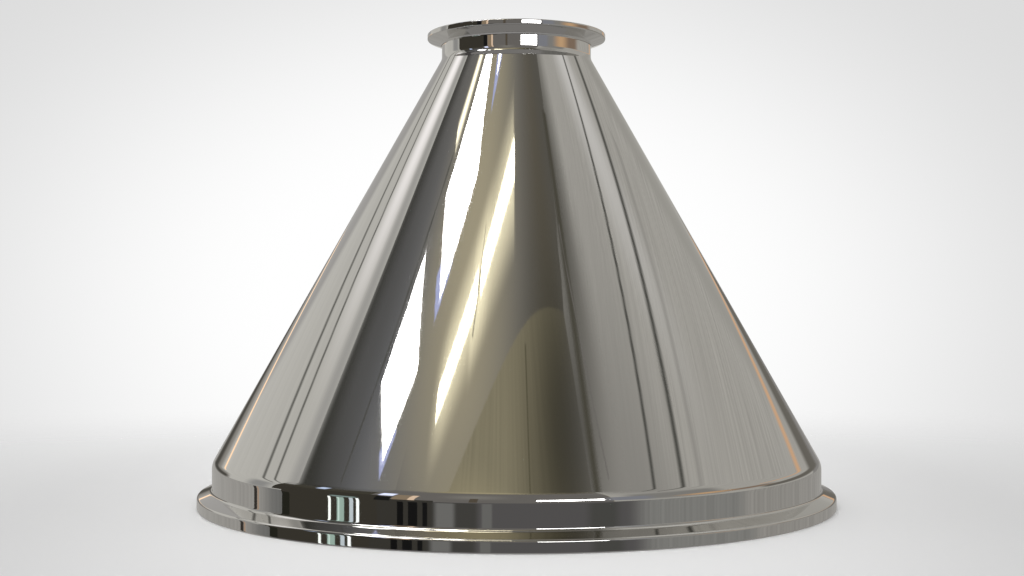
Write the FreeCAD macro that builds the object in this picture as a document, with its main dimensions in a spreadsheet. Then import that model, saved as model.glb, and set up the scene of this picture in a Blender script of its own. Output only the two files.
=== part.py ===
import FreeCAD
import Part
import Sketcher
import os

# Concentric pipe reducer, 12 in to 3 in, with hygienic clamp ends, in millimetres.
# It is one thin-walled turned shape: clamp flange, collar, cone, neck, clamp flange.
# The axis is +Z. The origin is the centre of the large clamp face, which it stands on.

os.makedirs("parts", exist_ok=True)
doc = FreeCAD.newDocument("pipe_reducer")

# Driving dimensions

DIMENSIONS = [
    ("large_tube_diameter", 304.8, "outside of the large collar"),
    ("large_wall", 2.77, "wall of the large collar"),
    ("large_ferrule_length", 21.2, "large face to the corner of collar and cone"),
    ("large_flange_reach", 7.25, "large clamp flange beyond the collar, all round"),
    ("large_rim_height", 5.6, "straight edge of the large flange"),
    ("large_rim_chamfer", 1.2, "chamfer on the back edge of the large rim"),
    ("large_root_radius", 1.6, "fillet between the large flange and the collar"),
    ("large_groove_inset", 3.95, "large rim to the middle of its gasket groove"),
    ("collar_bend_radius", 9.5, "outer bend between collar and cone"),
    ("cone_length", 203.2, "height between the two corners of the cone"),
    ("cone_wall", 2.77, "wall of the cone, square to its surface"),
    ("neck_bend_radius", 6.0, "outer bend between cone and neck"),
    ("small_tube_diameter", 76.2, "outside of the small neck"),
    ("small_wall", 1.65, "wall of the small neck"),
    ("small_ferrule_length", 12.7, "corner of cone and neck to the small face"),
    ("small_flange_reach", 7.35, "small clamp flange beyond the neck, all round"),
    ("small_rim_height", 2.6, "straight edge of the small flange"),
    ("small_root_radius", 1.2, "fillet between the small flange and the neck"),
    ("small_groove_inset", 3.8, "small rim to the middle of its gasket groove"),
    ("clamp_angle", 20.0, "slope of both flange backs, in degrees"),
    ("groove_depth", 1.6, "depth of both gasket grooves"),
    ("groove_floor", 1.6, "flat floor across both gasket grooves"),
    ("groove_mouth", 4.5, "width of both gasket grooves at the face"),
    ("edge_chamfer", 0.4, "chamfer on the other bore and rim edges"),
]

sheet = doc.addObject("Spreadsheet::Sheet", "Sizes")
for row, (alias, value, meaning) in enumerate(DIMENSIONS, start=1):
    sheet.set(f"A{row}", meaning)
    sheet.set(f"B{row}", str(value))
    sheet.setAlias(f"B{row}", alias)
doc.recompute()

# Sizes that follow from the driving dimensions, as expressions of the sheet

LARGE_TUBE = "Sizes.large_tube_diameter / 2"
LARGE_BORE = "Sizes.large_tube_diameter / 2 - Sizes.large_wall"
LARGE_RIM = "Sizes.large_tube_diameter / 2 + Sizes.large_flange_reach"
LARGE_RISE = "Sizes.large_flange_reach * tan(Sizes.clamp_angle * 1 deg)"
SMALL_TUBE = "Sizes.small_tube_diameter / 2"
SMALL_BORE = "Sizes.small_tube_diameter / 2 - Sizes.small_wall"
SMALL_RIM = "Sizes.small_tube_diameter / 2 + Sizes.small_flange_reach"
SMALL_RISE = "Sizes.small_flange_reach * tan(Sizes.clamp_angle * 1 deg)"
COLLAR_TOP = "Sizes.large_ferrule_length"
THROAT = "Sizes.large_ferrule_length + Sizes.cone_length"
TOP = "Sizes.large_ferrule_length + Sizes.cone_length + Sizes.small_ferrule_length"

# Sketches lie on the body's own XZ plane, where across is the radius and up is the axis

ACROSS_AXIS = -1
ORIGIN_POINT = (-1, 1)
START = 1
END = 2


def worked_out(expression):
    """The number that an expression of the sheet gives now."""
    return FreeCAD.Units.Quantity(reducer.evalExpression(expression)).Value


def new_sketch(name):
    plane = next(f for f in reducer.Origin.OriginFeatures if f.Role == "XZ_Plane")
    sketch = reducer.newObject("Sketcher::SketchObject", name)
    sketch.AttachmentSupport = [(plane, "")]
    sketch.MapMode = "FlatFace"
    return sketch


def dimension(sketch, name, kind, where, expression):
    """Put a named dimension on the sketch and tie it to the sheet."""
    index = sketch.addConstraint(Sketcher.Constraint(kind, *where, worked_out(expression)))
    sketch.renameConstraint(index, name)
    sketch.setExpression(f"Constraints.{name}", expression)


def full_turn(kind, name, sketch):
    """Turn a sketch once around the axis, as a solid or as a cut."""
    feature = reducer.newObject(kind, name)
    feature.Profile = sketch
    feature.ReferenceAxis = (sketch, ["V_Axis"])
    feature.Angle = 360
    doc.recompute()


# The body, and the section of its wall

reducer = doc.addObject("PartDesign::Body", "reducer")
reducer.Label = "reducer"

# Each corner is named after the line that leaves it, once around the section. The two
# inner corners of the cone start level with the outer ones, and its wall then places them.
CORNERS = [
    ("large_face", LARGE_BORE, "0"),
    ("large_rim", LARGE_RIM, "0"),
    ("large_back", LARGE_RIM, "Sizes.large_rim_height"),
    ("collar", LARGE_TUBE, f"Sizes.large_rim_height + {LARGE_RISE}"),
    ("cone", LARGE_TUBE, COLLAR_TOP),
    ("neck", SMALL_TUBE, THROAT),
    ("small_back", SMALL_TUBE, f"{TOP} - Sizes.small_rim_height - {SMALL_RISE}"),
    ("small_rim", SMALL_RIM, f"{TOP} - Sizes.small_rim_height"),
    ("small_face", SMALL_RIM, TOP),
    ("small_bore", SMALL_BORE, TOP),
    ("inner_cone", SMALL_BORE, THROAT),
    ("large_bore", LARGE_BORE, COLLAR_TOP),
]
LINE = {name: number for number, (name, radius, height) in enumerate(CORNERS)}

section = new_sketch("WallSection")
points = [FreeCAD.Vector(worked_out(radius), worked_out(height), 0) for name, radius, height in CORNERS]
for point, following in zip(points, points[1:] + points[:1]):
    section.addGeometry(Part.LineSegment(point, following), False)
for number in LINE.values():
    section.addConstraint(Sketcher.Constraint("Coincident", number, END, (number + 1) % len(LINE), START))
for name in ("large_face", "small_face"):
    section.addConstraint(Sketcher.Constraint("Horizontal", LINE[name]))
for name in ("large_rim", "collar", "neck", "small_rim", "small_bore", "large_bore"):
    section.addConstraint(Sketcher.Constraint("Vertical", LINE[name]))
section.addConstraint(Sketcher.Constraint("Parallel", LINE["cone"], LINE["inner_cone"]))
section.addConstraint(Sketcher.Constraint("PointOnObject", LINE["large_face"], START, ACROSS_AXIS))

# Across, from the axis
dimension(section, "large_rim_across", "DistanceX", (*ORIGIN_POINT, LINE["large_rim"], START), LARGE_RIM)
dimension(section, "large_tube_across", "DistanceX", (*ORIGIN_POINT, LINE["collar"], START), LARGE_TUBE)
dimension(section, "large_bore_across", "DistanceX", (*ORIGIN_POINT, LINE["large_face"], START), LARGE_BORE)
dimension(section, "small_rim_across", "DistanceX", (*ORIGIN_POINT, LINE["small_face"], START), SMALL_RIM)
dimension(section, "small_tube_across", "DistanceX", (*ORIGIN_POINT, LINE["neck"], START), SMALL_TUBE)
dimension(section, "small_bore_across", "DistanceX", (*ORIGIN_POINT, LINE["small_bore"], START), SMALL_BORE)

# Up, along the axis
dimension(section, "large_rim_up", "DistanceY", (LINE["large_rim"], START, LINE["large_rim"], END),
          "Sizes.large_rim_height")
dimension(section, "large_back_up", "DistanceY", (LINE["large_back"], START, LINE["large_back"], END), LARGE_RISE)
dimension(section, "collar_up", "DistanceY", (*ORIGIN_POINT, LINE["collar"], END), COLLAR_TOP)
dimension(section, "cone_up", "DistanceY", (LINE["cone"], START, LINE["cone"], END), "Sizes.cone_length")
dimension(section, "small_end_up", "DistanceY", (LINE["neck"], START, LINE["small_face"], START),
          "Sizes.small_ferrule_length")
dimension(section, "small_back_up", "DistanceY", (LINE["small_back"], START, LINE["small_back"], END), SMALL_RISE)
dimension(section, "small_rim_up", "DistanceY", (LINE["small_rim"], START, LINE["small_rim"], END),
          "Sizes.small_rim_height")
dimension(section, "cone_thick", "Distance", (LINE["inner_cone"], START, LINE["cone"]), "Sizes.cone_wall")

# Bends, root fillets and edge chamfers, each in its corner. A chamfer joins the ends of
# the arc that would round the corner, so on a square corner its leg is that radius.
ROUNDS = [
    ("cone", "Sizes.collar_bend_radius"),
    ("large_bore", "Sizes.collar_bend_radius - Sizes.large_wall"),
    ("neck", "Sizes.neck_bend_radius"),
    ("inner_cone", "Sizes.neck_bend_radius + Sizes.small_wall"),
    ("collar", "Sizes.large_root_radius"),
    ("small_back", "Sizes.small_root_radius"),
]
CHAMFERS = [
    ("large_back", "Sizes.large_rim_chamfer"),
    ("large_face", "Sizes.edge_chamfer"),
    ("large_rim", "Sizes.edge_chamfer"),
    ("small_rim", "Sizes.edge_chamfer"),
    ("small_face", "Sizes.edge_chamfer"),
    ("small_bore", "Sizes.edge_chamfer"),
]
for corners, is_chamfer in ((ROUNDS, False), (CHAMFERS, True)):
    for name, radius in corners:
        arc = section.GeometryCount
        section.fillet(LINE[name], START, worked_out(radius), True, True, is_chamfer)
        dimension(section, f"{name}_edge", "Radius", (arc,), radius)
doc.recompute()
assert section.FullyConstrained, "the wall section isn't fully constrained"

full_turn("PartDesign::Revolution", "Wall", section)

# The gasket groove in each clamp face, with sloping sides down to a flat floor. Its
# section is drawn on the side of the face where the metal is: up from the large face
# and down from the small one.

GROOVES = [
    ("LargeGroove", f"{LARGE_RIM} - Sizes.large_groove_inset", "0", "Sizes.groove_depth"),
    ("SmallGroove", f"{SMALL_RIM} - Sizes.small_groove_inset", TOP, f"{TOP} - Sizes.groove_depth"),
]
HALF_MOUTH = "Sizes.groove_mouth / 2"
HALF_FLOOR = "Sizes.groove_floor / 2"
for name, middle, face, floor in GROOVES:
    groove = new_sketch(f"{name}Section")
    corners = [
        ("mouth_inside", f"{middle} - {HALF_MOUTH}", face),
        ("mouth_outside", f"{middle} + {HALF_MOUTH}", face),
        ("floor_outside", f"{middle} + {HALF_FLOOR}", floor),
        ("floor_inside", f"{middle} - {HALF_FLOOR}", floor),
    ]
    points = [FreeCAD.Vector(worked_out(across), worked_out(up), 0) for corner, across, up in corners]
    for number, (point, following) in enumerate(zip(points, points[1:] + points[:1])):
        groove.addGeometry(Part.LineSegment(point, following), False)
    for number, (corner, across, up) in enumerate(corners):
        groove.addConstraint(Sketcher.Constraint("Coincident", number, END, (number + 1) % 4, START))
        dimension(groove, f"{corner}_across", "DistanceX", (*ORIGIN_POINT, number, START), across)
        dimension(groove, f"{corner}_up", "DistanceY", (*ORIGIN_POINT, number, START), up)
    before = reducer.Shape.Volume
    full_turn("PartDesign::Groove", name, groove)
    assert reducer.Shape.Volume < before, f"{name} cuts nothing"

# Check every object, then write the solid

doc.recompute()
for item in doc.Objects:
    assert not {"Invalid", "Error"} & set(item.State), f"{item.Name}: {item.State}"
shape = reducer.Shape
assert not shape.isNull() and shape.isValid() and len(shape.Solids) == 1, "the reducer is not one valid solid"
shape.exportStep(f"parts/{reducer.Label}.step")
print(f"reducer: {shape.Volume:.1f} mm3, {worked_out(TOP):.1f} mm high")
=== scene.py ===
from math import cos, pi, radians, sin, tan

import bmesh
import bpy
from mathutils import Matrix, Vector


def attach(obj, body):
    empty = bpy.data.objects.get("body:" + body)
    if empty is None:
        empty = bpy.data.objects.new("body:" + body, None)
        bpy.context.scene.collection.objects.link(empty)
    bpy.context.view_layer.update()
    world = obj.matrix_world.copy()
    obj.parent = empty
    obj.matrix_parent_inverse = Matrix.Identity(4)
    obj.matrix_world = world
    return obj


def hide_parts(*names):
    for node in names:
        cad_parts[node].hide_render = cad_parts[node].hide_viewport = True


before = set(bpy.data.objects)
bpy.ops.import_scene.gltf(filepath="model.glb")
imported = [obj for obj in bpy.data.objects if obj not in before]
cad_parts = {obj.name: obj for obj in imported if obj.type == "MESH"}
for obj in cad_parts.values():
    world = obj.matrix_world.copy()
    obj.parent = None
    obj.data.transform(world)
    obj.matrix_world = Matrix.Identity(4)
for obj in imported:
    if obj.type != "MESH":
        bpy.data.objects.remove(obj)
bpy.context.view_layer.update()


# Camera
# A 50 mm lens on a full frame, nearly three quarters of a metre in front of the axis and a
# little under half the reducer's height. It sees the foot from just above and the small
# ferrule from just below.
LENS_MM = 50.2
CAMERA_BACK = 0.7309
CAMERA_HEIGHT = 0.1019
CAMERA_TILT_UP = 0.0081
CAMERA_TURN_LEFT = 0.0031

lens = bpy.data.cameras.new("camera")
lens.lens = LENS_MM
lens.sensor_width = 36.0
camera = bpy.data.objects.new("camera", lens)
camera.location = (0.0, -CAMERA_BACK, CAMERA_HEIGHT)
camera.rotation_euler = (pi / 2 + CAMERA_TILT_UP, 0.0, CAMERA_TURN_LEFT)
bpy.context.scene.collection.objects.link(camera)
bpy.context.scene.camera = camera
bpy.context.scene.view_settings.view_transform = "Standard"


# Reducer
# The whole fitting is one piece of stainless steel: a thin spun cone with a clamp ferrule
# drawn into each end. Its outside is buffed to a mirror, its inside is left a shade duller,
# and the two clamp faces are turned on a lathe with a gasket groove in each.
MM = 0.001
LARGE_BORE = 149.63 * MM
LARGE_TUBE = 152.40 * MM
LARGE_RIM = 159.65 * MM
LARGE_RIM_HEIGHT = 5.6 * MM
LARGE_FERRULE_LENGTH = 21.2 * MM
LARGE_GROOVE = 155.70 * MM
SMALL_BORE = 36.45 * MM
SMALL_TUBE = 38.10 * MM
SMALL_RIM = 45.45 * MM
SMALL_RIM_HEIGHT = 2.6 * MM
SMALL_GROOVE = 41.65 * MM
CONE_TOP = 224.4 * MM
INNER_CONE_FOOT = 20.47 * MM
INNER_CONE_TOP = 221.68 * MM
FULL_HEIGHT = 237.1 * MM
CLAMP_SLOPE = tan(radians(20.0))
GROOVE_MOUTH = 4.5 * MM
GROOVE_FLOOR = 1.6 * MM
GROOVE_DEPTH = 1.6 * MM
GROOVE_LIP = 0.35 * MM
GROOVE_CORNER = 0.5 * MM
COLLAR_BEND = 9.5 * MM
COLLAR_BEND_INSIDE = 6.73 * MM
NECK_BEND = 6.0 * MM
NECK_BEND_INSIDE = 7.65 * MM
LARGE_RIM_BACK = 1.2 * MM
LARGE_RIM_ROOT = 1.6 * MM
LARGE_RIM_EDGE = 0.45 * MM
SMALL_RIM_BACK = 0.5 * MM
SMALL_RIM_ROOT = 1.2 * MM
SMALL_RIM_EDGE = 0.4 * MM
BORE_EDGE = 0.4 * MM
COLUMNS = 480
SAME_POINT = 0.002 * MM

# A narrow flat land on each side of a round keeps the shading of the long walls flat
LAND = 0.35 * MM

large_back = LARGE_RIM_HEIGHT + (LARGE_RIM - LARGE_TUBE) * CLAMP_SLOPE
small_back = FULL_HEIGHT - SMALL_RIM_HEIGHT - (SMALL_RIM - SMALL_TUBE) * CLAMP_SLOPE


def groove_corners(middle, face, into):
    """The four corners of a gasket groove, from its inner lip to its outer lip."""
    half_mouth, half_floor = GROOVE_MOUTH / 2, GROOVE_FLOOR / 2
    return [
        (middle - half_mouth, face, GROOVE_LIP, 3),
        (middle - half_floor, face + into * GROOVE_DEPTH, GROOVE_CORNER, 3),
        (middle + half_floor, face + into * GROOVE_DEPTH, GROOVE_CORNER, 3),
        (middle + half_mouth, face, GROOVE_LIP, 3),
    ]


# The corners of the wall's section, out over the large face, up the outside, in over the small
# face and down the inside: distance from the axis, height, radius of the round, steps in it.
corners = [(LARGE_BORE, 0.0, BORE_EDGE, 3)]
corners += groove_corners(LARGE_GROOVE, 0.0, 1.0)
corners += [
    (LARGE_RIM, 0.0, LARGE_RIM_EDGE, 4),
    (LARGE_RIM, LARGE_RIM_HEIGHT, LARGE_RIM_BACK, 8),
    (LARGE_TUBE, large_back, LARGE_RIM_ROOT, 8),
    (LARGE_TUBE, LARGE_FERRULE_LENGTH, COLLAR_BEND, 12),
    (SMALL_TUBE, CONE_TOP, NECK_BEND, 10),
    (SMALL_TUBE, small_back, SMALL_RIM_ROOT, 7),
    (SMALL_RIM, FULL_HEIGHT - SMALL_RIM_HEIGHT, SMALL_RIM_BACK, 5),
    (SMALL_RIM, FULL_HEIGHT, SMALL_RIM_EDGE, 4),
]
corners += groove_corners(SMALL_GROOVE, FULL_HEIGHT, -1.0)[::-1]
corners += [
    (SMALL_BORE, FULL_HEIGHT, BORE_EDGE, 3),
    (SMALL_BORE, INNER_CONE_TOP, NECK_BEND_INSIDE, 8),
    (LARGE_BORE, INNER_CONE_FOOT, COLLAR_BEND_INSIDE, 8),
]


def draw_round(section, corner, before, after):
    """Spins the round of one corner with a land on each side, and gives its two end points."""
    r, z, radius, steps = corner
    at = Vector((r, 0.0, z))
    back = (Vector((before[0], 0.0, before[1])) - at).normalized()
    ahead = (Vector((after[0], 0.0, after[1])) - at).normalized()
    turn = pi - back.angle(ahead)
    setback = radius * tan(turn / 2)
    drawn = set(section.verts)
    start = section.verts.new(at + back * setback)
    bmesh.ops.spin(
        section,
        geom=[start],
        cent=at + (back + ahead).normalized() * (radius / cos(turn / 2)),
        axis=(0.0, -1.0 if back.cross(ahead).y > 0 else 1.0, 0.0),
        angle=turn,
        steps=steps,
    )
    arc = [v for v in section.verts if v not in drawn]
    arc.sort(key=lambda v: (v.co - start.co).length)
    land_before = section.verts.new(start.co + back * LAND)
    land_after = section.verts.new(at + ahead * (setback + LAND))
    section.edges.new((land_before, arc[0]))
    section.edges.new((arc[-1], land_after))
    return land_before, land_after


section = bmesh.new()
ends = [
    draw_round(section, corner, corners[i - 1], corners[(i + 1) % len(corners)])
    for i, corner in enumerate(corners)
]
for i, (_, leaving) in enumerate(ends):
    section.edges.new((leaving, ends[(i + 1) % len(ends)][0]))

bmesh.ops.spin(
    section,
    geom=section.verts[:] + section.edges[:],
    cent=(0.0, 0.0, 0.0),
    axis=(0.0, 0.0, 1.0),
    angle=2 * pi,
    steps=COLUMNS,
    use_merge=True,
)
bmesh.ops.remove_doubles(section, verts=section.verts[:], dist=SAME_POINT)
bmesh.ops.recalc_face_normals(section, faces=section.faces[:])
wall = bpy.data.meshes.new("reducer_wall")
section.to_mesh(wall)
section.free()
wall.shade_smooth()

reducer = bpy.data.objects.new("polished_reducer", wall)
bpy.context.scene.collection.objects.link(reducer)


def buffing_group():
    """Fine marks that run round the turned wall, as a mask from 0 to 1 around one half."""
    group = bpy.data.node_groups.new("buffing_marks", "ShaderNodeTree")
    group.interface.new_socket("Marks per metre", in_out="INPUT", socket_type="NodeSocketFloat")
    group.interface.new_socket("Marks", in_out="OUTPUT", socket_type="NodeSocketFloat")
    nodes, links = group.nodes, group.links
    put_in, put_out = nodes.new("NodeGroupInput"), nodes.new("NodeGroupOutput")
    place = nodes.new("ShaderNodeTexCoord")
    split = nodes.new("ShaderNodeSeparateXYZ")
    flat = nodes.new("ShaderNodeCombineXYZ")
    radius = nodes.new("ShaderNodeVectorMath")
    radius.operation = "LENGTH"
    ring = nodes.new("ShaderNodeCombineXYZ")
    wander = nodes.new("ShaderNodeTexNoise")
    wander.inputs["Scale"].default_value = 18.0
    drift = nodes.new("ShaderNodeMath")
    drift.operation = "MULTIPLY"
    drift.inputs[1].default_value = 0.004
    marks = nodes.new("ShaderNodeTexNoise")
    marks.inputs["Detail"].default_value = 3.0
    marks.inputs["Roughness"].default_value = 0.6
    links.new(place.outputs["Object"], split.inputs[0])
    links.new(split.outputs["X"], flat.inputs["X"])
    links.new(split.outputs["Y"], flat.inputs["Y"])
    links.new(flat.outputs[0], radius.inputs[0])
    links.new(radius.outputs["Value"], ring.inputs["X"])
    links.new(split.outputs["Z"], ring.inputs["Y"])
    links.new(place.outputs["Object"], wander.inputs["Vector"])
    links.new(wander.outputs["Fac"], drift.inputs[0])
    links.new(drift.outputs[0], ring.inputs["Z"])
    links.new(ring.outputs[0], marks.inputs["Vector"])
    links.new(put_in.outputs["Marks per metre"], marks.inputs["Scale"])
    links.new(marks.outputs["Fac"], put_out.inputs["Marks"])
    return group


BUFFING = buffing_group()
STEEL = (0.66, 0.65, 0.63, 1.0)
STEEL_SHADE = (0.64, 0.63, 0.61, 1.0)


def steel_finish(name, roughness, marks_per_metre, mark_height):
    """Bare stainless steel with marks round the axis; roughness is (smoothest, roughest)."""
    material = bpy.data.materials.new(name)
    material.use_nodes = True
    nodes, links = material.node_tree.nodes, material.node_tree.links
    shader = nodes["Principled BSDF"]
    shader.inputs["Metallic"].default_value = 1.0
    marks = nodes.new("ShaderNodeGroup")
    marks.node_tree = BUFFING
    marks.inputs["Marks per metre"].default_value = marks_per_metre
    place = nodes.new("ShaderNodeTexCoord")
    cloud = nodes.new("ShaderNodeTexNoise")
    cloud.inputs["Scale"].default_value = 9.0
    cloud.inputs["Detail"].default_value = 2.0
    links.new(place.outputs["Object"], cloud.inputs["Vector"])
    tone = nodes.new("ShaderNodeMix")
    tone.data_type = "RGBA"
    tone.inputs[6].default_value = STEEL
    tone.inputs[7].default_value = STEEL_SHADE
    links.new(cloud.outputs["Fac"], tone.inputs[0])
    links.new(tone.outputs[2], shader.inputs["Base Color"])
    spread = nodes.new("ShaderNodeMapRange")
    spread.inputs["From Min"].default_value = 0.35
    spread.inputs["From Max"].default_value = 0.65
    spread.inputs["To Min"].default_value = roughness[0]
    spread.inputs["To Max"].default_value = roughness[1]
    links.new(marks.outputs["Marks"], spread.inputs["Value"])
    links.new(spread.outputs["Result"], shader.inputs["Roughness"])
    relief = nodes.new("ShaderNodeBump")
    relief.inputs["Strength"].default_value = 1.0
    relief.inputs["Distance"].default_value = mark_height
    links.new(marks.outputs["Marks"], relief.inputs["Height"])
    links.new(relief.outputs["Normal"], shader.inputs["Normal"])
    return material


FACE, OUTSIDE, INSIDE = 0, 1, 2
wall.materials.append(steel_finish(
    "turned_face", roughness=(0.10, 0.22), marks_per_metre=2600.0, mark_height=0.004 * MM))
wall.materials.append(steel_finish(
    "mirror_polish", roughness=(0.015, 0.035), marks_per_metre=1400.0, mark_height=0.0002 * MM))
wall.materials.append(steel_finish(
    "inside_polish", roughness=(0.06, 0.14), marks_per_metre=900.0, mark_height=0.0015 * MM))

# The turned faces take in their grooves and stop at the polished edges of the rims
TURNED_DEPTH = 1.7 * MM
POLISHED_EDGE = 0.5 * MM
NEAR_BORE = 0.6 * MM
for face in wall.polygons:
    at = face.center
    from_axis = (at.x**2 + at.y**2) ** 0.5
    along = min(max((at.z - INNER_CONE_FOOT) / (INNER_CONE_TOP - INNER_CONE_FOOT), 0.0), 1.0)
    bore = LARGE_BORE + (SMALL_BORE - LARGE_BORE) * along
    if from_axis < bore + NEAR_BORE:
        face.material_index = INSIDE
    elif from_axis < LARGE_RIM - POLISHED_EDGE and at.z < TURNED_DEPTH:
        face.material_index = FACE
    elif from_axis < SMALL_RIM - POLISHED_EDGE and at.z > FULL_HEIGHT - TURNED_DEPTH:
        face.material_index = FACE
    else:
        face.material_index = OUTSIDE

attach(reducer, "root")
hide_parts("reducer")


# Studio floor
# A matt pale sheet under the reducer, with a pool of light painted into its colour: brightest
# near the reducer and darker further out. It fades into the white behind it.
# It keeps the soft shadow, and the polished foot doesn't mirror it.
FLOOR_REACH = 3.0
floor_mesh = bmesh.new()
bmesh.ops.create_circle(floor_mesh, cap_ends=True, segments=96, radius=FLOOR_REACH)
floor_data = bpy.data.meshes.new("studio_floor")
floor_mesh.to_mesh(floor_data)
floor_mesh.free()
floor = bpy.data.objects.new("studio_floor", floor_data)
bpy.context.scene.collection.objects.link(floor)
floor.visible_glossy = False

paper = bpy.data.materials.new("pale_paper")
paper.use_nodes = True
nodes, links = paper.node_tree.nodes, paper.node_tree.links
paper_shader = nodes["Principled BSDF"]
paper_shader.inputs["Roughness"].default_value = 0.9
paper_shader.inputs["Specular IOR Level"].default_value = 0.0
paper_place = nodes.new("ShaderNodeTexCoord")
paper_strip = nodes.new("ShaderNodeMapping")
paper_strip.inputs["Location"].default_value = (0.0, -0.0225, 0.0)
paper_strip.inputs["Scale"].default_value = (1.0, 0.45, 1.0)
paper_side = nodes.new("ShaderNodeVectorMath")
paper_side.operation = "LENGTH"
paper_far = nodes.new("ShaderNodeVectorMath")
paper_far.operation = "DISTANCE"
paper_far.inputs[1].default_value = (0.0, -0.45, 0.0)
paper_fade = nodes.new("ShaderNodeMapRange")
paper_fade.interpolation_type = "SMOOTHSTEP"
paper_fade.inputs["From Min"].default_value = 0.35
paper_fade.inputs["From Max"].default_value = 1.10
# Painted light: the paper's colour is brightest near the reducer and darker further out
paper_painted_light = nodes.new("ShaderNodeMapRange")
paper_painted_light.interpolation_type = "SMOOTHSTEP"
paper_painted_light.inputs["From Min"].default_value = 0.10
paper_painted_light.inputs["From Max"].default_value = 0.26
paper_painted_light.inputs["To Min"].default_value = 0.96
paper_painted_light.inputs["To Max"].default_value = 0.745
paper_gone = nodes.new("ShaderNodeBsdfTransparent")
paper_mix = nodes.new("ShaderNodeMixShader")
links.new(paper_place.outputs["Object"], paper_far.inputs[0])
links.new(paper_far.outputs["Value"], paper_fade.inputs["Value"])
links.new(paper_place.outputs["Object"], paper_strip.inputs["Vector"])
links.new(paper_strip.outputs["Vector"], paper_side.inputs[0])
links.new(paper_side.outputs["Value"], paper_painted_light.inputs["Value"])
links.new(paper_painted_light.outputs["Result"], paper_shader.inputs["Base Color"])
links.new(paper_fade.outputs["Result"], paper_mix.inputs[0])
links.new(paper_shader.outputs[0], paper_mix.inputs[1])
links.new(paper_gone.outputs[0], paper_mix.inputs[2])
links.new(paper_mix.outputs[0], nodes["Material Output"].inputs["Surface"])
floor_data.materials.append(paper)


# White surround
# The world is the white paper behind the reducer, which camera and metal see with painted light
# on it, brightest straight behind the reducer and darker away from there, and the even light that
# it sends back on to the floor.
world = bpy.data.worlds.new("white_surround")
bpy.context.scene.world = world
world.use_nodes = True
nodes, links = world.node_tree.nodes, world.node_tree.links
soft_light = nodes["Background"]
soft_light.inputs["Color"].default_value = (1.0, 1.0, 1.0, 1.0)
soft_light.inputs["Strength"].default_value = 0.68
white = nodes.new("ShaderNodeBackground")
white.inputs["Strength"].default_value = 1.0
way = nodes.new("ShaderNodeTexCoord")
tall = nodes.new("ShaderNodeMapping")
tall.inputs["Scale"].default_value = (1.0, 1.0, 1.5)
behind = nodes.new("ShaderNodeVectorMath")
behind.operation = "DISTANCE"
behind.inputs[1].default_value = (-0.02, 1.0, 0.0)
# Painted light on the backdrop: brightest straight behind the reducer, darker away from there
backdrop_painted_light = nodes.new("ShaderNodeMapRange")
backdrop_painted_light.interpolation_type = "SMOOTHSTEP"
backdrop_painted_light.inputs["From Min"].default_value = 0.14
backdrop_painted_light.inputs["From Max"].default_value = 0.46
backdrop_painted_light.inputs["To Min"].default_value = 1.0
backdrop_painted_light.inputs["To Max"].default_value = 0.72
seen = nodes.new("ShaderNodeLightPath")
either = nodes.new("ShaderNodeMath")
either.operation = "MAXIMUM"
any_of = nodes.new("ShaderNodeMath")
any_of.operation = "MAXIMUM"
swap = nodes.new("ShaderNodeMixShader")
links.new(way.outputs["Generated"], tall.inputs["Vector"])
links.new(tall.outputs["Vector"], behind.inputs[0])
links.new(behind.outputs["Value"], backdrop_painted_light.inputs["Value"])
links.new(backdrop_painted_light.outputs["Result"], white.inputs["Color"])
links.new(seen.outputs["Is Camera Ray"], either.inputs[0])
links.new(seen.outputs["Is Glossy Ray"], either.inputs[1])
links.new(either.outputs[0], any_of.inputs[0])
links.new(seen.outputs["Is Transmission Ray"], any_of.inputs[1])
links.new(any_of.outputs[0], swap.inputs[0])
links.new(soft_light.outputs[0], swap.inputs[1])
links.new(white.outputs[0], swap.inputs[2])
links.new(swap.outputs[0], nodes["World Output"].inputs["Surface"])


# Overhead lamp
# One wide soft lamp high on the left, which gives the shadow on the floor its direction.
lamp = bpy.data.lights.new("overhead_lamp", "AREA")
lamp.shape = "DISK"
lamp.size = 1.2
lamp.energy = 5.5
overhead = bpy.data.objects.new("overhead_lamp", lamp)
overhead.location = (-0.25, 0.15, 1.5)
overhead.rotation_euler = (-overhead.location).to_track_quat("-Z", "Y").to_euler()
overhead.visible_glossy = False
bpy.context.scene.collection.objects.link(overhead)


# Studio cards
# Flat boards, with joints and lamps on them, hang all round and so far off that the whole cone
# mirrors each one from the same direction. The boards themselves are no lamps, yet they glow:
# the light and shade on them is painted into that glow. Only polished metal sees them: they
# light nothing else. Each new card hangs a little nearer than the one before and covers it.
MIDDLE = Vector((0.0, 0.0, 0.12))
FARTHEST = 220.0
STEP_NEARER = 0.7
cards = []


def up(x, y):
    """The direction of a point one unit overhead: x to the right, -y to the camera."""
    return Vector((x, y, 1.0)).normalized()


def bearing(azimuth, elevation):
    """A direction in degrees: azimuth 0 is towards the camera and grows to the right."""
    a, e = radians(azimuth), radians(elevation)
    return Vector((sin(a) * cos(e), -cos(a) * cos(e), sin(e)))


def faded_side(nodes, links, along, share, most):
    """Fades in from the two ends of a card's side over that share of it, up to the most."""
    near = nodes.new("ShaderNodeMath")
    near.operation = "PINGPONG"
    near.inputs[1].default_value = 0.5
    ramp = nodes.new("ShaderNodeMapRange")
    ramp.interpolation_type = "SMOOTHSTEP"
    ramp.inputs["From Max"].default_value = share
    ramp.inputs["To Max"].default_value = most
    links.new(along, near.inputs[0])
    links.new(near.outputs[0], ramp.inputs["Value"])
    return ramp.outputs["Result"]


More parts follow.
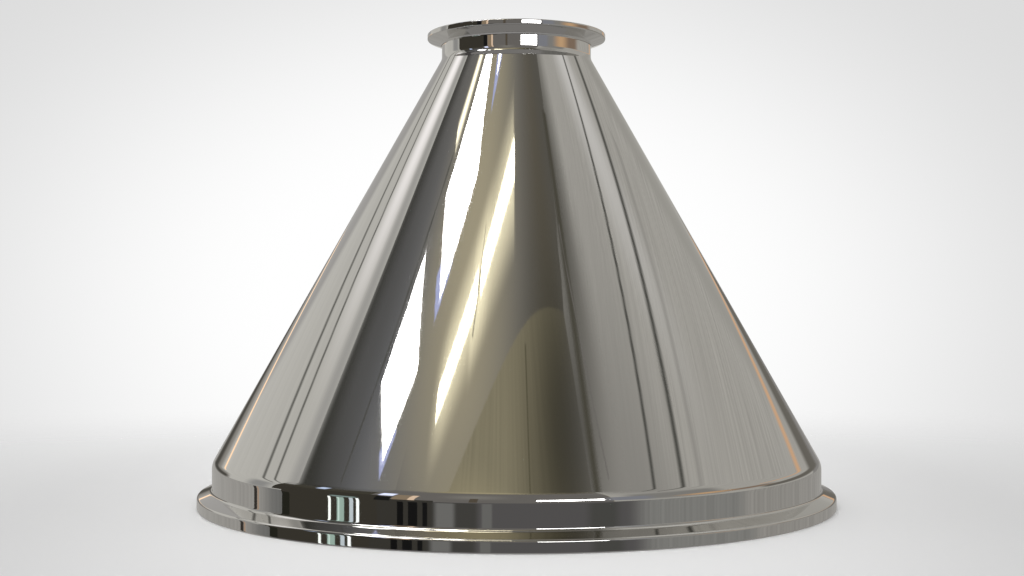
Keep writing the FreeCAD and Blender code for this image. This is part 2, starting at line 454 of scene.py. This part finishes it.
def streaked_level(nodes, links, strength, across, down):
    """A light level that streaks lift and drop: how far, and how many cross each side."""
    place = nodes.new("ShaderNodeUVMap")
    place.uv_map = "card"
    stretch = nodes.new("ShaderNodeMapping")
    stretch.inputs["Scale"].default_value = (across, down, 1.0)
    streaks = nodes.new("ShaderNodeTexNoise")
    streaks.inputs["Scale"].default_value = 1.0
    streaks.inputs["Detail"].default_value = 5.0
    streaks.inputs["Roughness"].default_value = 0.65
    level = nodes.new("ShaderNodeMapRange")
    level.inputs["From Min"].default_value = 0.3
    level.inputs["From Max"].default_value = 0.7
    level.inputs["To Min"].default_value = 1.0 - strength
    level.inputs["To Max"].default_value = 1.0 + strength
    links.new(place.outputs["UV"], stretch.inputs["Vector"])
    links.new(stretch.outputs["Vector"], streaks.inputs["Vector"])
    links.new(streaks.outputs["Fac"], level.inputs["Value"])
    return level.outputs["Result"]


def card_material(name, colour, soft, solid, grain):
    """The glow of a card, streaked if it has a grain and faded at its sides if it is soft."""
    material = bpy.data.materials.new(name)
    material.use_nodes = True
    material.cycles.emission_sampling = "NONE"
    nodes, links = material.node_tree.nodes, material.node_tree.links
    nodes.clear()
    glow = nodes.new("ShaderNodeEmission")
    glow.inputs["Color"].default_value = (*colour, 1.0)
    shown = glow.outputs[0]
    if grain:
        links.new(streaked_level(nodes, links, *grain), glow.inputs["Strength"])
    if soft != (0.0, 0.0):
        place = nodes.new("ShaderNodeUVMap")
        place.uv_map = "card"
        sides = nodes.new("ShaderNodeSeparateXYZ")
        links.new(place.outputs["UV"], sides.inputs[0])
        cover = None
        for side, share in zip("XY", soft):
            if share and cover is None:
                cover = faded_side(nodes, links, sides.outputs[side], share, solid)
            elif share:
                both = nodes.new("ShaderNodeMath")
                both.operation = "MULTIPLY"
                links.new(cover, both.inputs[0])
                links.new(faded_side(nodes, links, sides.outputs[side], share, 1.0), both.inputs[1])
                cover = both.outputs[0]
        clear = nodes.new("ShaderNodeBsdfTransparent")
        mix = nodes.new("ShaderNodeMixShader")
        links.new(cover, mix.inputs[0])
        links.new(clear.outputs[0], mix.inputs[1])
        links.new(shown, mix.inputs[2])
        shown = mix.outputs[0]
    card_face = nodes.new("ShaderNodeOutputMaterial")
    links.new(shown, card_face.inputs["Surface"])
    return material


def hang(name, way, colour, soft=(0.0, 0.0), solid=1.0, grain=None):
    """Hangs a glowing card across the directions of way. It fades in over the soft share of its
    two sides, and a soft card covers what is behind it by no more than solid.
    """
    distance = FARTHEST - STEP_NEARER * len(cards)
    sheet = bmesh.new()
    sheet.loops.layers.uv.new("card")
    bmesh.ops.create_grid(sheet, x_segments=24, y_segments=24, size=0.5, calc_uvs=True)
    for v in sheet.verts:
        v.co = MIDDLE + way(v.co.x + 0.5, v.co.y + 0.5).normalized() * distance
    data = bpy.data.meshes.new(name)
    sheet.to_mesh(data)
    sheet.free()
    data.materials.append(card_material(name, colour, soft, solid, grain))
    board = bpy.data.objects.new(name, data)
    bpy.context.scene.collection.objects.link(board)
    board.visible_camera = False
    board.visible_diffuse = False
    board.visible_transmission = False
    board.visible_volume_scatter = False
    board.visible_shadow = False
    cards.append(board)


def card(name, corners, colour, soft=(0.0, 0.0), solid=1.0, grain=None):
    """A flat card between four directions."""
    first, second, third, fourth = corners

    def way(across, down):
        return first.lerp(second, across).lerp(fourth.lerp(third, across), down)

    hang(name, way, colour, soft, solid, grain)


def line(name, start, end, width, colour, soft=0.5, solid=1.0, ends=0.0):
    """A long thin card from one direction to another, as wide as that share of the distance."""
    aside = (end - start).cross(start + end).normalized() * (width / 2)
    corners = (start - aside, start + aside, end + aside, end - aside)
    card(name, corners, colour, (soft, ends), solid)


def patch(name, middle, half_wide, half_deep, colour, solid=1.0, soft=0.5):
    """A soft patch of tone round a direction, facing the cone."""
    wide = Vector((0.0, 0.0, 1.0)).cross(middle).normalized() * half_wide
    deep = middle.cross(wide).normalized() * half_deep
    corners = (middle - wide - deep, middle + wide - deep, middle + wide + deep, middle - wide + deep)
    card(name, corners, colour, (soft, soft), solid)


def block(name, left, right, low, high, colour, soft=(0.0, 0.0), solid=1.0, grain=None):
    """An upright card between two azimuths and two elevations."""

    def way(across, down):
        return bearing(left + (right - left) * across, low + (high - low) * down)

    hang(name, way, colour, soft, solid, grain)


# Overhead flat
card("overhead_flat", (up(-3.2, -1.37), up(0.38, -0.56), up(0.33, 0.62), up(-3.2, 0.08)),
     (0.20, 0.193, 0.178))
patch("overhead_cool_light", up(-1.02, -0.40), 0.60, 0.36, (0.20, 0.205, 0.22))
patch("overhead_dark_end", up(-1.62, -0.02), 0.62, 0.24, (0.035, 0.035, 0.03), solid=0.9)
patch("overhead_left_shade", up(-1.08, 0.06), 0.38, 0.22, (0.115, 0.115, 0.115), solid=0.9)
patch("overhead_lamp_light", up(-0.40, -0.47), 0.52, 0.38, (0.50, 0.45, 0.32))
patch("overhead_right_shade", up(0.26, -0.46), 0.26, 0.30, (0.145, 0.13, 0.10))
line("left_edge_band", up(-2.1, 0.10), up(-0.78, 0.235), 0.28, (0.06, 0.06, 0.053), solid=0.8)
line("overhead_wire", up(-1.25, -0.27), up(-0.62, -0.15), 0.014, (0.10, 0.10, 0.09))

# End flat
card("end_flat", (up(-1.3, -0.94), up(0.38, -0.56), bearing(34.2, 0), bearing(-54.1, 0)),
     (0.31, 0.28, 0.19), grain=(0.12, 60.0, 1.5))
block("end_flat_low", -54, 34, -7, 47.5, (0.19, 0.18, 0.17), soft=(0.0, 0.12))
block("end_flat_light", -32, 2, 10, 42, (0.33, 0.32, 0.29), soft=(0.5, 0.5), solid=0.6)
patch("end_flat_foot_light", up(-0.22, -0.875), 0.40, 0.07, (0.50, 0.44, 0.28))
patch("end_flat_shade", up(0.30, -0.72), 0.34, 0.24, (0.065, 0.060, 0.042), solid=0.9)
line("end_flat_joint", up(0.07, -0.65), up(0.10, -0.90), 0.012, (0.12, 0.11, 0.07))

# Left, right and top flats
card("left_flat", (up(-3.2, 0.03), up(0.33, 0.33), bearing(135, 0), bearing(-91, 0)),
     (0.65, 0.64, 0.605), grain=(0.05, 1.0, 60.0))
card("right_flat", (up(0.38, -0.56), up(0.34, 0.75), bearing(155, 0), bearing(34.2, 0)),
     (0.50, 0.488, 0.457), grain=(0.17, 6.0, 300.0))
card("near_left_flat", (up(-1.3, -0.94), up(-3.2, -0.10), bearing(-91, 0), bearing(-54, 0)),
     (0.07, 0.065, 0.05))
card("top_flat", (up(-0.72, 0.30), up(0.38, 0.40), up(0.34, 0.75), up(-0.72, 0.75)),
     (0.40, 0.39, 0.36))
block("near_left_dark", -98, -54, 0, 33, (0.07, 0.065, 0.05), soft=(0.0, 0.3))

# The ground round the foot
for i in range(4):
    block(f"ground_{i}", i * 90 - 180, i * 90 - 90, -22, 0, (0.122, 0.118, 0.12))
    block(f"deep_ground_{i}", i * 90 - 180, i * 90 - 90, -85, -20, (0.385, 0.38, 0.382))
block("ground_left", -180, -91, -40, 0, (0.22, 0.22, 0.215), grain=(0.12, 60.0, 1.0))
block("ground_far_left", -180, -95, -40, 0, (0.43, 0.42, 0.40), soft=(0.16, 0.0),
      grain=(0.12, 60.0, 1.0))
block("ground_right", 38, 110, -40, 0, (0.29, 0.29, 0.28), soft=(0.16, 0.0),
      grain=(0.16, 60.0, 1.0))
block("ground_far_right", 84, 180, -40, 0, (0.38, 0.37, 0.35), soft=(0.10, 0.0),
      grain=(0.20, 70.0, 1.0))

# Tone, painted light and shade, and joints on the right flat
patch("corner_shade", up(0.45, -0.68), 0.22, 0.17, (0.055, 0.052, 0.043), solid=0.9)
patch("right_flat_light", up(0.72, 0.10), 0.22, 0.42, (0.88, 0.87, 0.86), solid=0.8)
# Painted shade darkening the corner of the right flat
patch("right_flat_corner_shade", up(0.41, -0.43), 0.18, 0.38, (0.12, 0.115, 0.10), solid=0.9)
patch("right_flat_low", up(0.88, -0.66), 0.42, 0.32, (0.33, 0.32, 0.30), solid=0.9)
block("right_flat_foot", 36, 84, 0, 34, (0.24, 0.235, 0.225), soft=(0.2, 0.3), solid=0.8)
block("right_flat_end", 132, 178, 2, 60, (0.41, 0.40, 0.37), soft=(0.3, 0.2), solid=0.9)
line("corner_edge", up(0.37, -0.36), up(0.56, -0.78), 0.07, (0.085, 0.08, 0.06), solid=0.9)
line("right_joint_near", up(0.70, 0.95), up(0.98, -0.75), 0.024, (0.10, 0.10, 0.09))
line("right_joint_far", up(0.92, 1.30), up(1.24, -0.80), 0.030, (0.10, 0.10, 0.09))
line("right_joint_faint", up(1.18, 0.75), up(1.36, -0.45), 0.03, (0.36, 0.35, 0.33), solid=0.6)
line("right_edge_thin", up(0.40, -0.46), up(0.62, -0.67), 0.012, (0.20, 0.19, 0.18), solid=0.8)

# Tone, painted light and shade, and joints on the left flat
block("left_flat_end", -178, -142, 2, 34, (0.42, 0.41, 0.40), soft=(0.2, 0.3), solid=0.9)
block("left_flat_near", -118, -96, -4, 20, (0.37, 0.37, 0.365), soft=(0.4, 0.3))
card("left_flat_light", (up(-1.75, 0.22), up(-0.45, 0.32), up(-0.55, 0.90), up(-1.75, 0.90)),
     (1.40, 1.36, 1.37), soft=(0.5, 0.5))
line("left_flat_shade", up(-2.3, 0.16), up(-0.6, 0.35), 0.16, (0.47, 0.465, 0.45), solid=0.9)
line("left_joint_near", up(-2.6, 0.39), up(-0.55, 1.08), 0.030, (0.10, 0.10, 0.09), solid=0.9)
line("left_joint_far", up(-2.9, 0.62), up(-0.70, 1.51), 0.036, (0.11, 0.11, 0.10), solid=0.9)

# Soft boxes and strip lamps overhead
WHITE_LAMP = (12.0, 12.0, 12.1)
BLUE_LAMP = (0.55, 0.60, 0.95)
WARM_LAMP = (12.0, 11.1, 8.4)
WARM_GLOW = (1.6, 1.47, 1.05)
line("strip_glow_left", up(-0.62, -0.603), up(-0.20, -0.530), 0.14, WARM_GLOW, solid=0.75, ends=0.25)
line("strip_glow_right", up(-0.37, -0.572), up(-0.01, -0.488), 0.14, WARM_GLOW, solid=0.75, ends=0.08)
line("strip_lamp_left", up(-0.565, -0.598), up(-0.318, -0.552), 0.038, WARM_LAMP, soft=0.4)
line("strip_lamp_right", up(-0.292, -0.549), up(-0.02, -0.480), 0.038, WARM_LAMP, soft=0.4)
line("strip_wire", up(-0.335, -0.60), up(-0.280, -0.50), 0.012, (0.34, 0.32, 0.24))
line("strip_lamp_far", up(-0.72, -0.145), up(-0.555, -0.085), 0.10, (2.6, 2.4, 1.8))
card("soft_box_left_blue", (up(-0.945, -0.50), up(-0.85, -0.485), up(-0.87, -0.44), up(-0.965, -0.44)),
     BLUE_LAMP)
card("soft_box_middle_blue", (up(-0.65, -0.45), up(-0.55, -0.43), up(-0.58, -0.36), up(-0.68, -0.37)),
     BLUE_LAMP)
card("soft_box_right_blue", (up(-0.335, -0.375), up(-0.20, -0.335), up(-0.22, -0.10), up(-0.37, -0.14)),
     BLUE_LAMP)
card("soft_box_left", (up(-0.930, -0.475), up(-0.740, -0.460), up(-0.815, -0.23), up(-1.02, -0.27)),
     WHITE_LAMP)
card("soft_box_middle", (up(-0.625, -0.432), up(-0.412, -0.40), up(-0.46, -0.17), up(-0.71, -0.235)),
     WHITE_LAMP)
card("soft_box_right", (up(-0.31, -0.35), up(-0.21, -0.33), up(-0.22, -0.10), up(-0.34, -0.14)),
     WHITE_LAMP)

# Low lamps and shade behind the reducer
block("low_grey_right", 140, 174, -2, 4.5, (0.27, 0.26, 0.25), soft=(0.1, 0.3))
block("low_shade_right", 96, 170, 1.5, 10.0, (0.17, 0.16, 0.14), soft=(0.1, 0.3))
block("low_grey_left", -176, -128, -2, 8.5, (0.30, 0.285, 0.26), soft=(0.15, 0.3))
block("low_shade_left", -174, -128, -1.5, 5.5, (0.085, 0.08, 0.07), soft=(0.15, 0.4))
block("brown_glow_right", 58, 112, 6.0, 14.0, (0.29, 0.21, 0.155), soft=(0.25, 0.4))
block("orange_glow_near", 54, 90, 6.0, 15.0, (0.72, 0.47, 0.27), soft=(0.5, 0.4))
line("orange_lamp_right", bearing(100, 15.0), bearing(163, 8.0), 0.034, (0.80, 0.50, 0.30))
line("orange_lamp_left", bearing(-163, 8.3), bearing(-138, 8.9), 0.026, (1.6, 1.1, 0.7))

# Low cards towards the camera, the wide dark ones first
block("low_dark_flat", -98, -50, 2, 19, (0.055, 0.05, 0.04))
block("low_dark_foot", -92.5, -50, -14, 2, (0.055, 0.05, 0.04))
block("low_post_flat", -50, -29, -14, 6, (0.055, 0.052, 0.045))
block("low_blue_box_far", -81, -75, 22, 31, (0.8, 0.95, 1.3), soft=(0.25, 0.25))
block("low_blue_box", -52, -45, 19, 31, (1.3, 1.4, 1.9), soft=(0.15, 0.2))
block("low_black_post", -51, -45.0, -2, 16, (0.015, 0.015, 0.015))
block("low_warm_strip", -44.5, -36.5, 5, 26, (0.34, 0.26, 0.18))
block("low_warm_line", -38.5, -36, 5, 26, (1.0, 0.75, 0.55))
block("low_post_line", -16.5, -13.5, 2, 20, (0.12, 0.10, 0.075))
block("low_blue_side", 29, 52, 4, 22, (0.28, 0.29, 0.33), soft=(0.3, 0.2))
block("low_soft_box", 7.0, 31.0, 9.0, 14.5, WHITE_LAMP)

# Bars and tube lamps close to the ground, from left to right
block("bar_far_left", -109.5, -107.5, -14, -2, (0.05, 0.045, 0.04))
block("orange_strip_left", -107.3, -106.3, -14, -2, (0.50, 0.36, 0.26))
block("bar_left", -92.5, -88.5, -14, -4, (0.025, 0.025, 0.018))
block("tube_light_above", -70, -57, -2, 6, (0.30, 0.40, 0.38), soft=(0.2, 0.4))
block("white_tube_left", -70.0, -68.9, -14, -1, (1.6, 1.7, 1.65))
block("green_tube", -66.3, -63.2, -14, -2, (0.45, 0.62, 0.55))
block("green_tube_core", -66.0, -65.0, -14, -2, (0.85, 1.1, 1.0), soft=(0.4, 0.1))
block("blue_tube", -61.0, -59.4, -14, -1, (0.75, 0.85, 0.92))
block("white_tube_right", -58.2, -57.0, -14, -1, (1.6, 1.7, 1.72))
block("black_bar_left", -42.3, -40.0, -14, -4, (0.010, 0.010, 0.010))
block("black_bar_middle", -38.2, -34.8, -14, -4, (0.012, 0.012, 0.012))
block("black_bar_right", -32.9, -31.2, -14, -4, (0.012, 0.012, 0.012))
block("dark_gap", -31.0, -12.0, -14, -2, (0.075, 0.073, 0.068), soft=(0.15, 0.0))
block("grey_strip_left", -29.5, -20.5, -14, -4, (0.21, 0.21, 0.205), soft=(0.25, 0.0))
block("grey_strip_right", -12.4, -8.0, -14, -4, (0.19, 0.19, 0.185), soft=(0.2, 0.0))
block("dark_strip_right", 23.0, 38.0, -14, -4, (0.09, 0.09, 0.085), soft=(0.3, 0.0))
